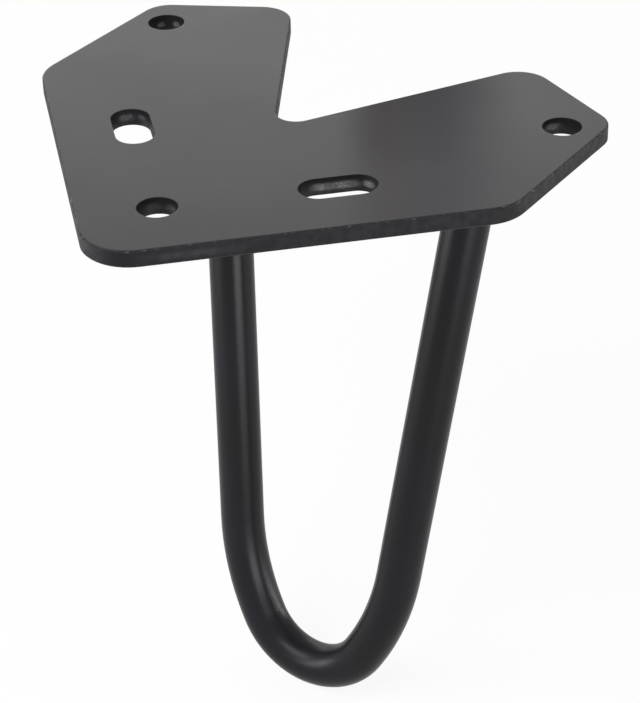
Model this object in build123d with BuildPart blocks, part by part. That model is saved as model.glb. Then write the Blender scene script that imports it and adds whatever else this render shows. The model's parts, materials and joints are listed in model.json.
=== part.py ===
from build123d import *
import os
from math import acos, atan2, cos, degrees, hypot, radians, sin, sqrt

# Hairpin table leg: a round bar bent to a hairpin and welded under a cut steel plate.
# Millimetres and degrees. z = 0 is the mounting face, +Z points up into the table top,
# and the origin is the centre of the corner hole. The plate's arms run along +X and +Y,
# and the leg is the same on both sides of the plane x = y.

# Mounting plate, its outline measured from the corner where the two outer edges would meet
plate_thickness = 3.6
plate_reach = 110.0
tip_chamfer = 28.9
arm_end_width = 58.3
arm_end_drop = 9.2
notch_inset = 43.2
corner_radius = 10.0
tip_radius = 6.5
arm_end_radius = 7.0
notch_radius = 4.2
edge_round = 0.4
edge_break = 0.3

# Fixing holes and slots
hole_diameter = 8.0
edge_inset = 15.6
arm_hole_setback = 10.6
arm_hole_to_chamfer = 8.0
slot_width = 8.0
slot_length = 15.7
slot_distance = 50.6

# Hairpin rod: straight prongs, a wide shoulder arc on each side and a tighter toe arc
leg_height = 150.0
rod_diameter = 10.2
prong_inset = 39.9
prong_setback = 23.8
lean_angle = 8.1
toe_radius = 16.0
toe_angle = 60.0
shoulder_radius = 61.0

# Weld fillets around the rod's ends
weld_leg = 4.0
weld_crown = 0.8

os.makedirs("parts", exist_ok=True)

# The plate's outline, one arm and its mirror image
outline_corner = Plane((-edge_inset, -edge_inset, 0))
arm_corners = [
    (0, plate_reach - tip_chamfer),
    (tip_chamfer, plate_reach),
    (arm_end_width, plate_reach - arm_end_drop),
]
arm_radii = [corner_radius, tip_radius, arm_end_radius]
other_arm_corners = [(y, x) for x, y in reversed(arm_corners)]
outline = [(0, 0), *arm_corners, (notch_inset, notch_inset), *other_arm_corners]
outline_radii = [corner_radius, *arm_radii, notch_radius, *reversed(arm_radii)]
arm_hole_reach = plate_reach - arm_hole_setback
arm_hole_inset = tip_chamfer - arm_hole_setback + arm_hole_to_chamfer * sqrt(2)

with BuildPart() as plate:
    with BuildSketch(outline_corner):
        with BuildLine():
            FilletPolyline(*outline, radius=outline_radii, close=True)
        make_face()
    extrude(amount=-plate_thickness)
    fillet(faces().sort_by(Axis.Z)[-1].edges(), edge_round)
    chamfer(faces().sort_by(Axis.Z)[0].edges(), edge_break)
    with BuildSketch(outline_corner):
        with Locations(
            (edge_inset, edge_inset),
            (arm_hole_reach, arm_hole_inset),
            (arm_hole_inset, arm_hole_reach),
        ):
            Circle(hole_diameter / 2)
        with Locations((slot_distance, edge_inset)):
            SlotOverall(slot_length, slot_width)
        with Locations((edge_inset, slot_distance)):
            SlotOverall(slot_length, slot_width, rotation=90)
    extrude(amount=-plate_thickness, mode=Mode.SUBTRACT)

plate.part.label = "mounting_plate"
export_step(plate.part, "parts/mounting_plate.step")

# The plane of the bent rod: x across the prongs, y up the leg, tipped so that the toe stands out
underside = Plane.XY.offset(-plate_thickness)
lean = radians(lean_angle)
prong_reach = plate_reach - prong_setback
diagonal = (prong_reach + prong_inset) / 2 - edge_inset
prong_middle = (diagonal, diagonal, -plate_thickness)
rod_facing = (-cos(lean) / sqrt(2), -cos(lean) / sqrt(2), sin(lean))
rod_plane = Plane(prong_middle, x_dir=(1, -1, 0), z_dir=rod_facing)
mirror_plane = Plane(prong_middle, z_dir=(1, -1, 0))

# The rod's centre line: each prong leaves its weld and runs tangent into the shoulder arc
rod_radius = rod_diameter / 2
prong_half = (prong_reach - prong_inset) / sqrt(2)
leg_length = (leg_height - rod_radius - plate_thickness) / cos(lean)
toe_centre = (0, toe_radius - leg_length)
radius_step = shoulder_radius - toe_radius
shoulder_centre = (
    -radius_step * sin(radians(toe_angle)),
    toe_centre[1] + radius_step * cos(radians(toe_angle)),
)
weld_x = prong_half - shoulder_centre[0]
weld_y = -shoulder_centre[1]
prong_angle = acos(shoulder_radius / hypot(weld_x, weld_y)) - atan2(weld_y, weld_x)
along = Vector(sin(prong_angle), cos(prong_angle))
across = Vector(cos(prong_angle), -sin(prong_angle))
weld_point = Vector(prong_half, 0)
prong_end = weld_point + along * rod_diameter

with BuildPart() as rod:
    with BuildLine(rod_plane) as centre_line:
        CenterArc(toe_centre, toe_radius, 270 - toe_angle, 2 * toe_angle)
        shoulder_sweep = 90 - toe_angle - degrees(prong_angle)
        shoulder = CenterArc(shoulder_centre, shoulder_radius, 270 + toe_angle, shoulder_sweep)
        prong = Line(shoulder @ 1, (prong_end.X, prong_end.Y))
        mirror(shoulder, about=mirror_plane)
        mirror(prong, about=mirror_plane)
    with BuildSketch(Plane(prong @ 1, z_dir=prong % 1)):
        Circle(rod_radius)
    sweep(path=centre_line.wire())
    split(bisect_by=underside, keep=Keep.BOTTOM)

rod.part.label = "hairpin_rod"
export_step(rod.part, "parts/hairpin_rod.step")

# Weld fillets: crowned rings about the prongs, trimmed by the plate's underside
weld_root = weld_point + across * rod_radius
weld_foot = weld_root - along * weld_leg
weld_toe = weld_root + across * weld_leg
weld_bulge = (weld_foot + weld_toe) / 2 + (across - along) * (weld_crown / sqrt(2))
weld_brim = weld_toe + (weld_toe - weld_bulge).normalized() * rod_diameter
weld_back = weld_root + along * (weld_brim - weld_root).dot(along)

with BuildPart() as x_arm_bead:
    with BuildSketch(rod_plane):
        with BuildLine():
            Polyline(weld_foot, weld_bulge, weld_brim, weld_back, close=True)
        make_face()
    revolve(axis=Axis(prong @ 1, prong % 1))
    split(bisect_by=underside, keep=Keep.BOTTOM)

with BuildPart() as y_arm_bead:
    mirror(x_arm_bead.part, about=mirror_plane)

for bead, name in ((x_arm_bead, "weld_bead_x_arm"), (y_arm_bead, "weld_bead_y_arm")):
    bead.part.label = name
    export_step(bead.part, f"parts/{name}.step")
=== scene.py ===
import json
import math

import bpy
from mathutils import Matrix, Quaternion, Vector


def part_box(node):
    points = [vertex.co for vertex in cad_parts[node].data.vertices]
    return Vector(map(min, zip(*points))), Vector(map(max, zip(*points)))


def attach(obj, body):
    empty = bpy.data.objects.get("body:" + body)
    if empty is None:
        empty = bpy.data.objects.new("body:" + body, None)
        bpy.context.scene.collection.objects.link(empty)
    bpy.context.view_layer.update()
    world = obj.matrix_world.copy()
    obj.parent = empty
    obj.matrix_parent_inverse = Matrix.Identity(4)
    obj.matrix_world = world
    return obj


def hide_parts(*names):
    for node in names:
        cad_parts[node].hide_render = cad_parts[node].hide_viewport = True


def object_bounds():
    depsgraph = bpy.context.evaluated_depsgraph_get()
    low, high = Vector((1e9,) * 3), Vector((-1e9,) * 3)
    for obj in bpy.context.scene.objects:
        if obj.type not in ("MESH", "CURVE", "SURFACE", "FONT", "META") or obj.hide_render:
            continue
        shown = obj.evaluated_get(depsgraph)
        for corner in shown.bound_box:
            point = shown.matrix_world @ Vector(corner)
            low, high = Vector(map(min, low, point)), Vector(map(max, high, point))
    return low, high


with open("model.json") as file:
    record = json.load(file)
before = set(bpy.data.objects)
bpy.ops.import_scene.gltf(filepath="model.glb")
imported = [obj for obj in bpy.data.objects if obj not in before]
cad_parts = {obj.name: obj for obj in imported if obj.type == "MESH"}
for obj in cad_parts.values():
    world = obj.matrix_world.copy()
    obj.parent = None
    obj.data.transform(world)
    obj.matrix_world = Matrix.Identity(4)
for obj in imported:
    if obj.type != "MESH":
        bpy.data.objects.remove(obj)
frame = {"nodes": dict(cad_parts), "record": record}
cad_low, cad_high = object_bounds()


# Mounting plate
# A V of hot rolled steel sheet, 3.6 mm thick over its coat, with punched fixing holes and slots.
# It is powder coated satin black: the coat is thin on the rolled upper edge, which is painted lighter as
# thin coat and as painted sheen, and in places it is worn through on the torn band that the punch leaves
# half way down each cut, where light grey is painted as bare steel and as painted glints.

class Shade:
    """A value in a material's nodes. Sums and products of such values add Math nodes."""

    def __init__(self, tree, socket=None):
        self.tree = tree
        self.socket = socket

    def node(self, kind, settings, sockets, output=0):
        """Adds a node: its settings first, then a number, a colour or a Shade for each socket."""
        made = self.tree.nodes.new("ShaderNode" + kind)
        for name, value in settings.items():
            setattr(made, name, value)
        for name, value in sockets.items():
            if isinstance(value, Shade):
                self.tree.links.new(value.socket, made.inputs[name])
            else:
                made.inputs[name].default_value = value
        return Shade(self.tree, made.outputs[output])

    def math(self, operation, first, second):
        return self.node("Math", {"operation": operation}, {0: first, 1: second})

    def __add__(self, other):
        return self.math("ADD", self, other)

    def __sub__(self, other):
        return self.math("SUBTRACT", self, other)

    def __rsub__(self, other):
        return self.math("SUBTRACT", other, self)

    def __mul__(self, other):
        return self.math("MULTIPLY", self, other)

    __radd__ = __add__
    __rmul__ = __mul__


def noise(place, size, detail=2.0, roughness=0.5):
    """Cloudy values from 0 to 1, with features about as large as size, in metres."""
    sockets = {"Vector": place, "Scale": 1 / size, "Detail": detail, "Roughness": roughness}
    return place.node("TexNoise", {}, sockets)


def between(value, low, high):
    """0 below low, 1 above high, and smooth from one to the other."""
    sockets = {"Value": value, "From Min": low, "From Max": high}
    return value.node("MapRange", {"interpolation_type": "SMOOTHSTEP"}, sockets)


def near(place, middle, full, none):
    """1 within the distance full of a point, in metres, and 0 beyond the distance none."""
    distance = place.node("VectorMath", {"operation": "DISTANCE"}, {0: place, 1: middle}, "Value")
    return 1 - between(distance, full, none)


def blend(share, first, second):
    """The first colour where share is 0 and the second where it is 1."""
    return share.node("Mix", {"data_type": "RGBA"}, {0: share, 6: first, 7: second}, 2)


def start_material(name, specular):
    """An empty coat: the material, its shader, and the place on the part that patterns start from."""
    material = bpy.data.materials.new(name)
    material.use_nodes = True
    shader = material.node_tree.nodes["Principled BSDF"]
    shader.inputs["Specular IOR Level"].default_value = specular
    place = Shade(material.node_tree).node("TexCoord", {}, {}, "Object")
    return material, shader, place


def finish_material(shader, color, roughness, height, edge_radius):
    """Joins a colour, a roughness and a height in metres to the shader, and softens its edges.
    Gives back the normal, for a second shader on the same surface."""
    soft = height.node("Bevel", {"samples": 6}, {"Radius": edge_radius})
    bump = {"Height": height, "Distance": 1.0, "Strength": 1.0, "Normal": soft}
    normal = height.node("Bump", {}, bump)
    for name, value in (("Base Color", color), ("Roughness", roughness), ("Normal", normal)):
        value.tree.links.new(value.socket, shader.inputs[name])
    return normal


# The coat's colours: in the open, the warm and blue tints of a painted reflection, where it is thin with a
# painted sheen, and where the steel shows, with painted glints on the torn band
coat_black = (0.0070, 0.0068, 0.0076, 1)
coat_cool = (0.0078, 0.0072, 0.0098, 1)
reflection_warm = (0.0108, 0.0080, 0.0090, 1)
reflection_blue = (0.0086, 0.0078, 0.0120, 1)
thin_coat_and_sheen = (0.018, 0.018, 0.019, 1)
steel_nick = (0.060, 0.060, 0.062, 1)
torn_steel_and_glint = (0.190, 0.190, 0.194, 1)

# How large the coat's patterns are, and how high they stand, in metres
plate_patch_size = 0.035
plate_peel_size = 0.0011
plate_grain_size = 0.00035
clump_size = 0.0022
mottle_size = 0.0016
nick_size = 0.0009
grit_size = 0.00022
plate_peel_height = 0.000010
grain_height = 0.000004
grit_height = 0.000012
torn_height = 0.00004
coat_rounding = 0.0003

# Flat faces and cut faces shine differently, and patterns add to their roughness
flat_specular = 0.25
flat_roughness = 0.40
plate_patch_roughness = 0.12
grain_roughness = 0.10
cut_specular = 0.12
cut_roughness = 0.52
mottle_roughness = 0.13
torn_roughness = 0.10

# Below the mounting face, where the torn band fades in and where it fades out, in metres
band_begins = (0.0008, 0.0016)
band_ends = (0.0022, 0.0030)

# Where the band is worn bare and painted light grey, as bare steel and as painted glints: the hole or slot
# that the place is measured from, the place, how far the spot is whole and where it ends, all in metres, and
# the share of the coat that is gone
worn_and_glint_spots = (
    ("x_arm_slot", (0.0003, 0.0040, -0.0018), 0.0028, 0.0056, 0.9),
    ("x_arm_slot", (0.0068, 0.0028, -0.0016), 0.0005, 0.0018, 1.0),
    ("y_arm_slot", (-0.0003, 0.0078, -0.0014), 0.0007, 0.0024, 0.5),
    ("y_arm_slot", (0.0027, 0.0068, -0.0014), 0.0003, 0.0015, 0.4),
    ("x_arm_hole", (-0.0011, 0.0039, -0.0015), 0.0005, 0.0026, 0.45),
    ("y_arm_hole", (-0.0007, 0.0040, -0.0024), 0.0004, 0.0012, 1.0),
    ("y_arm_hole", (0.0026, 0.0030, -0.0021), 0.0003, 0.0011, 0.9),
    ("corner_hole", (0.0000, 0.0040, -0.0022), 0.0005, 0.0030, 0.12),
    ("corner_hole", (0.0030, 0.0026, -0.0021), 0.0004, 0.0017, 0.4),
    ("corner_hole", (0.0040, -0.0156, -0.0018), 0.0030, 0.0120, 0.12),
)

# A stripe across the arm that runs along X stands in for a dark reflection: it is made rougher, most of all
# by the notch, and its warm and blue tints are a painted reflection. It slants by a share of the way across,
# and in metres along the arm it fades in, turns from warm to blue, and fades out.
stripe_slant = 0.23
stripe_begins = (0.033, 0.044)
stripe_turns = (0.046, 0.054)
stripe_ends = (0.053, 0.075)
stripe_roughness = 0.105
towards_notch = (-0.012, 0.036)
notch_roughness = 0.16


def make_plate_coat():
    material, shader, place = start_material("plate_coat", flat_specular)
    along, across, above = [place.node("SeparateXYZ", {}, {0: place}, axis) for axis in "XYZ"]
    depth = above * -1

    # The faces, told apart by how far they look up
    up = place.node("SeparateXYZ", {}, {0: place.node("NewGeometry", {}, {}, "Normal")}, "Z")
    level = up.math("ABSOLUTE", up, 0)
    top = between(up, 0.5, 0.9)
    edge = between(up, 0.1, 0.5) * (1 - between(up, 0.9, 0.995))
    cut = 1 - between(level, 0.55, 0.95)
    wall = 1 - between(level, 0.15, 0.4)

    patches = noise(place, plate_patch_size, 3.0)
    peel = noise(place, plate_peel_size)
    grain = noise(place, plate_grain_size, 1.0)
    grit = noise(place, grit_size, 3.0, 0.65)
    mottle = between(noise(place, mottle_size, 3.0), 0.38, 0.62)
    nick = edge * between(noise(place, nick_size), 0.56, 0.68)

    clump = 0.55 + between(noise(place, clump_size), 0.40, 0.60) * 0.45
    band = between(depth, *band_begins) * (1 - between(depth, *band_ends)) * wall
    centres = {mount["name"]: Vector(mount["pos_m"]) for mount in frame["record"]["mounts"]}
    bare_and_glint = sum(
        near(place, centres[mount] + Vector(offset), full, none) * share
        for mount, offset, full, none, share in worn_and_glint_spots
    )
    torn_and_glint = band * bare_and_glint * clump * (0.3 + between(grit, 0.42, 0.64) * 0.7)

    stripe = along - across * stripe_slant
    painted_reflection = between(stripe, *stripe_begins) * (1 - between(stripe, *stripe_ends)) * top
    dull = painted_reflection * (stripe_roughness + between(across, *towards_notch) * notch_roughness)

    color = blend(between(patches, 0.35, 0.7), coat_black, coat_cool)
    # The stripe's warm and blue tints are a painted reflection
    color = blend(painted_reflection, color, reflection_blue)
    color = blend(painted_reflection * (1 - between(stripe, *stripe_turns)), color, reflection_warm)
    # The rolled edge is painted lighter: thin coat, and a painted sheen
    color = blend(edge * 0.5, color, thin_coat_and_sheen)
    color = blend(nick, color, steel_nick)
    # The torn band is painted light grey: bare steel, and painted glints
    color = blend(torn_and_glint, color, torn_steel_and_glint)
    uneven = (patches - 0.5) * plate_patch_roughness + (grain - 0.5) * grain_roughness
    height = peel * plate_peel_height + grain * grain_height + wall * grit * grit_height + torn_and_glint * torn_height
    normal = finish_material(shader, color, flat_roughness + uneven + dull, height, coat_rounding)

    cut_shader = {
        "Base Color": color,
        "Roughness": cut_roughness + mottle * mottle_roughness + torn_and_glint * torn_roughness,
        "Specular IOR Level": cut_specular,
        "Normal": normal,
    }
    cut_face = place.node("BsdfPrincipled", {}, cut_shader)
    flat_face = Shade(place.tree, shader.outputs[0])
    coat = place.node("MixShader", {}, {0: cut, 1: flat_face, 2: cut_face})
    place.tree.links.new(coat.socket, place.tree.nodes["Material Output"].inputs["Surface"])
    return material


plate = frame["nodes"]["mounting_plate"]
plate.material_slots[0].material = make_plate_coat()


# Hairpin rod
# One round bar of 10 mm mild steel, bent cold to a hairpin, its two ends cut to lie flat
# under the plate. The same satin black powder coat covers it, with a slight orange peel.

rod_patch_size = 0.030
rod_peel_size = 0.0013
rod_grain_size = 0.0004
rod_peel_height = 0.000012
rod_specular = 0.12
rod_roughness = 0.32
rod_patch_roughness = 0.10


def make_rod_coat():
    material, shader, place = start_material("rod_coat", rod_specular)
    patches = noise(place, rod_patch_size, 3.0)
    peel = noise(place, rod_peel_size)
    grain = noise(place, rod_grain_size, 1.0)
    color = blend(between(patches, 0.35, 0.65), coat_black, coat_cool)
    uneven = (patches - 0.5) * rod_patch_roughness + (grain - 0.5) * grain_roughness
    height = peel * rod_peel_height + grain * grain_height
    finish_material(shader, color, rod_roughness + uneven, height, coat_rounding)
    return material


rod = frame["nodes"]["hairpin_rod"]
rod.material_slots[0].material = make_rod_coat()


# Weld beads
# A fillet of weld metal runs once around each end of the bar and joins it to the plate's underside.
# Each bead is a row of overlapping ripples with a thicker spot where the run closes, and the coat
# is thin on the crests, which are painted lighter as thin coat and as a painted highlight.

# Where the middle of each prong meets the plate: from the corner hole along its own arm, and across it
weld_along_arm = 0.0706
weld_across_arm = 0.0243
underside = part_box("mounting_plate")[0].z

# The bead's section, in metres
rod_radius = 0.0051
weld_leg = 0.0040
weld_crown = 0.0008
weld_sunk = 0.0004

# Its ripples, which scallop the rim by a share of the leg, and the thicker spot where the run closes,
# with its place and its spread in radians
ripple_count = 29
ripple_height = 0.00022
ripple_bow = 0.9
crest_sharpness = 3
scallop_share = 0.06
closing_height = 0.0005
closing_angle = 2.2
closing_spread = 0.22
steps_around = 348
steps_across = 14

# Its swells, each with its share of the crown, how many there are around the bar, and its turn, and then
# the share of the leg that swells with them
swells = ((0.12, 3, 1.0), (0.07, 7, 2.6))
swell_reach = 0.03

# The hairpin leans, so that its toe stands nearer to the plate's corner, and its prongs spread upwards
leg_lean = math.radians(8.1)
prong_flare = math.radians(5.70)
leg_across = Vector((1, -1, 0)).normalized()
leg_inward = Vector((1, 1, 0)).normalized()
leg_up = leg_inward * math.sin(leg_lean) + Vector((0, 0, math.cos(leg_lean)))


def ripple_at(step, share):
    """From 0 between two ripples to 1 on a crest, at a step around the bar and a share across the bead.
    The ripples bow, so that they run ahead in the middle of the bead."""
    return abs(math.sin(math.pi * (ripple_count * step / steps_around - ripple_bow * (2 * share - 1) ** 2)))


def weld_bead(name, weld_point, side):
    """A closed rippled ring about a prong, sunk a little into the bar and into the plate."""
    prong_up = leg_up * math.cos(prong_flare) + leg_across * (side * math.sin(prong_flare))

    # Two directions square to the prong: away from the other prong, and out of the leg's plane
    first = leg_across * (side * math.cos(prong_flare)) - leg_up * math.sin(prong_flare)
    second = prong_up.cross(first) * side

    into_plate = Vector((0, 0, weld_sunk))
    points, crests = [], []
    for step in range(steps_around):
        angle = 2 * math.pi * step / steps_around
        radial = first * math.cos(angle) + second * math.sin(angle)
        outward = Vector((radial.x, radial.y, 0)).normalized()
        facing = (outward - prong_up).normalized()
        into_rod = radial * -weld_sunk

        uneven = 1 + sum(share * math.sin(count * angle + turn) for share, count, turn in swells)
        closing = closing_height * math.exp(-((angle - closing_angle) / closing_spread) ** 2)
        crown = weld_crown * uneven + closing
        scallop = 1 - scallop_share + scallop_share * ripple_at(step, 0)
        reach = weld_leg * scallop * (1 - swell_reach + swell_reach * uneven)

        rod_side = weld_point + radial * rod_radius
        root = rod_side - prong_up * (radial.z * rod_radius / prong_up.z)
        foot = rod_side - prong_up * reach
        toe = root + outward * reach
        points += [root + into_rod + into_plate, foot + into_rod]
        crests += [0.0, 0.0]
        for cross in range(steps_across + 1):
            share = cross / steps_across
            swell = 4 * share * (1 - share)
            ripple = ripple_at(step, share)
            height = swell * crown + math.sqrt(swell) * ripple_height * (ripple - 0.5) * uneven
            points.append(foot.lerp(toe, share) + facing * height)
            crests.append(ripple ** crest_sharpness * swell)
        points.append(toe + into_plate)
        crests.append(0.0)

    ring = len(points) // steps_around
    faces = []
    for step in range(steps_around):
        here, there = step * ring, (step + 1) % steps_around * ring
        for corner in range(ring):
            after = (corner + 1) % ring
            face = (here + corner, here + after, there + after, there + corner)
            faces.append(face if side > 0 else face[::-1])
    mesh = bpy.data.meshes.new(name)
    mesh.from_pydata(points, [], faces)
    mesh.shade_smooth()
    mesh.attributes.new("crest", "FLOAT", "POINT").data.foreach_set("value", crests)
    bead = bpy.data.objects.new(name, mesh)
    bpy.context.scene.collection.objects.link(bead)
    return bead


weld_patch_size = 0.006
weld_peel_size = 0.0009
weld_peel_height = 0.00002
weld_rounding = 0.0001
weld_specular = 0.12
weld_roughness = 0.42
weld_patch_roughness = 0.15
crest_roughness = -0.08


def make_weld_coat():
    material, shader, place = start_material("weld_coat", weld_specular)
    crest = place.node("Attribute", {"attribute_name": "crest"}, {}, "Fac")
    patches = noise(place, weld_patch_size, 3.0)
    peel = noise(place, weld_peel_size)
    color = blend(between(patches, 0.35, 0.65), coat_black, coat_cool)
    # The crests are painted lighter: thin coat, and a painted highlight
    color = blend(crest * between(patches, 0.3, 0.7), color, thin_coat_and_sheen)
    uneven = (patches - 0.5) * weld_patch_roughness + crest * crest_roughness
    finish_material(shader, color, weld_roughness + uneven, peel * weld_peel_height, weld_rounding)
    return material


weld_coat = make_weld_coat()
welds = (
    ("x_arm", Vector((weld_along_arm, weld_across_arm, underside)), 1),
    ("y_arm", Vector((weld_across_arm, weld_along_arm, underside)), -1),
)
for arm, weld_point, side in welds:
    bead = weld_bead(f"weld_ripples_{arm}", weld_point, side)
    bead.data.materials.append(weld_coat)
    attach(bead, "root")
    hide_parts(f"weld_bead_{arm}")


# Studio
# A wide pale floor under the toe of the leg, soft light from a few boxes, and the camera where
# the photograph was taken from. Seen directly or mirrored, floor and surroundings are near white.

def seen(tree):
    """1 for what the camera sees directly, mirrored or through glass, and 0 for what only lights."""
    kinds = ("Is Camera Ray", "Is Glossy Ray", "Is Transmission Ray")
    direct, mirrored, through = [Shade(tree).node("LightPath", {}, {}, kind) for kind in kinds]
    return direct.math("MINIMUM", direct + mirrored + through, 1.0)


white = (1, 1, 1, 1)
floor_half = 12.0
floor_grey = (0.9, 0.9, 0.9, 1)
floor_roughness = 0.9
floor_white = 0.90
floor_mesh = bpy.data.meshes.new("floor")
corner_signs = ((-1, -1), (1, -1), (1, 1), (-1, 1))
floor_corners = [(x * floor_half, y * floor_half, cad_low.z) for x, y in corner_signs]
floor_mesh.from_pydata(floor_corners, [], [(0, 1, 2, 3)])
floor = bpy.data.objects.new("floor", floor_mesh)
bpy.context.scene.collection.objects.link(floor)

floor_paint = bpy.data.materials.new("floor_paint")
floor_paint.use_nodes = True
floor_tree = floor_paint.node_tree
floor_shader = floor_tree.nodes["Principled BSDF"]
floor_shader.inputs["Base Color"].default_value = floor_grey
floor_shader.inputs["Roughness"].default_value = floor_roughness
floor_shader.inputs["Specular IOR Level"].default_value = 0.0
floor_lit = Shade(floor_tree, floor_shader.outputs[0])
floor_glow = floor_lit.node("Emission", {}, {"Color": white, "Strength": 1.0})
floor_share = seen(floor_tree) * floor_white
floor_look = floor_lit.node("MixShader", {}, {0: floor_share, 1: floor_lit, 2: floor_glow})
floor_tree.links.new(floor_look.socket, floor_tree.nodes["Material Output"].inputs["Surface"])
floor_mesh.materials.append(floor_paint)

object_middle = (cad_low + cad_high) / 2


def softbox(name, azimuth, elevation, distance, width, height, radiance):
    """A flat soft lamp that faces the leg: azimuth 0 is in front of it and 90 on its right, and a
    radiance of 1 would look as bright as white paper."""
    azimuth, elevation = math.radians(azimuth), math.radians(elevation)
    level = math.cos(elevation)
    away = Vector((math.sin(azimuth) * level, -math.cos(azimuth) * level, math.sin(elevation)))
    lamp = bpy.data.lights.new(name, "AREA")
    lamp.shape = "RECTANGLE"
    lamp.size = width
    lamp.size_y = height
    lamp.energy = radiance * math.pi * width * height
    box = bpy.data.objects.new(name, lamp)
    box.location = object_middle + away * distance
    box.rotation_mode = "QUATERNION"
    box.rotation_quaternion = (-away).to_track_quat("-Z", "Y")
    bpy.context.scene.collection.objects.link(box)
    return box


softbox("key_box", azimuth=-64, elevation=46, distance=1.0, width=0.85, height=0.36, radiance=8.5)
softbox("back_box", azimuth=178, elevation=21, distance=1.2, width=1.20, height=0.50, radiance=1.65)
low_boxes = (
    softbox("left_box", azimuth=-91, elevation=5.0, distance=0.284, width=0.19, height=0.098, radiance=11.0),
    softbox("front_box", azimuth=17, elevation=-7.4, distance=0.45, width=0.26, height=0.05, radiance=34.0),
    softbox("right_box", azimuth=76, elevation=-3, distance=0.9, width=1.20, height=0.055, radiance=36.0),
)

# The low boxes are flagged off the floor, so that they leave no pools of light on it
flagged = bpy.data.collections.new("flagged_off")
flagged.objects.link(floor)
flagged.collection_objects[0].light_linking.link_state = "EXCLUDE"
for box in low_boxes:
    box.light_linking.receiver_collection = flagged

world_level = 0.5
world = bpy.data.worlds.new("studio")
world.use_nodes = True
world_tree = world.node_tree
world_shader = world_tree.nodes["Background"]
world_shader.inputs["Color"].default_value = white
world_shader.inputs["Strength"].default_value = world_level
world_lamp = Shade(world_tree, world_shader.outputs[0])
world_white = world_lamp.node("Background", {}, {"Color": white, "Strength": 1.0})
world_look = world_lamp.node("MixShader", {}, {0: seen(world_tree), 1: world_lamp, 2: world_white})
world_tree.links.new(world_look.socket, world_tree.nodes["World Output"].inputs["Surface"])
bpy.context.scene.world = world

camera_place = Vector((-0.04133, -0.37383, 0.20459))
camera_look = Vector((0.15974, 0.82930, -0.53549))
camera_roll = math.radians(-1.36)
image_long_side = 703
focal_pixels = 2255.0
sensor_width = 36.0
camera_data = bpy.data.cameras.new("camera")
camera_data.sensor_width = sensor_width
camera_data.lens = focal_pixels * sensor_width / image_long_side
camera = bpy.data.objects.new("camera", camera_data)
camera.location = camera_place
camera.rotation_mode = "QUATERNION"
camera.rotation_quaternion = camera_look.to_track_quat("-Z", "Y") @ Quaternion((0, 0, 1), camera_roll)
bpy.context.scene.collection.objects.link(camera)
bpy.context.scene.camera = camera

bpy.context.scene.view_settings.view_transform = "Standard"
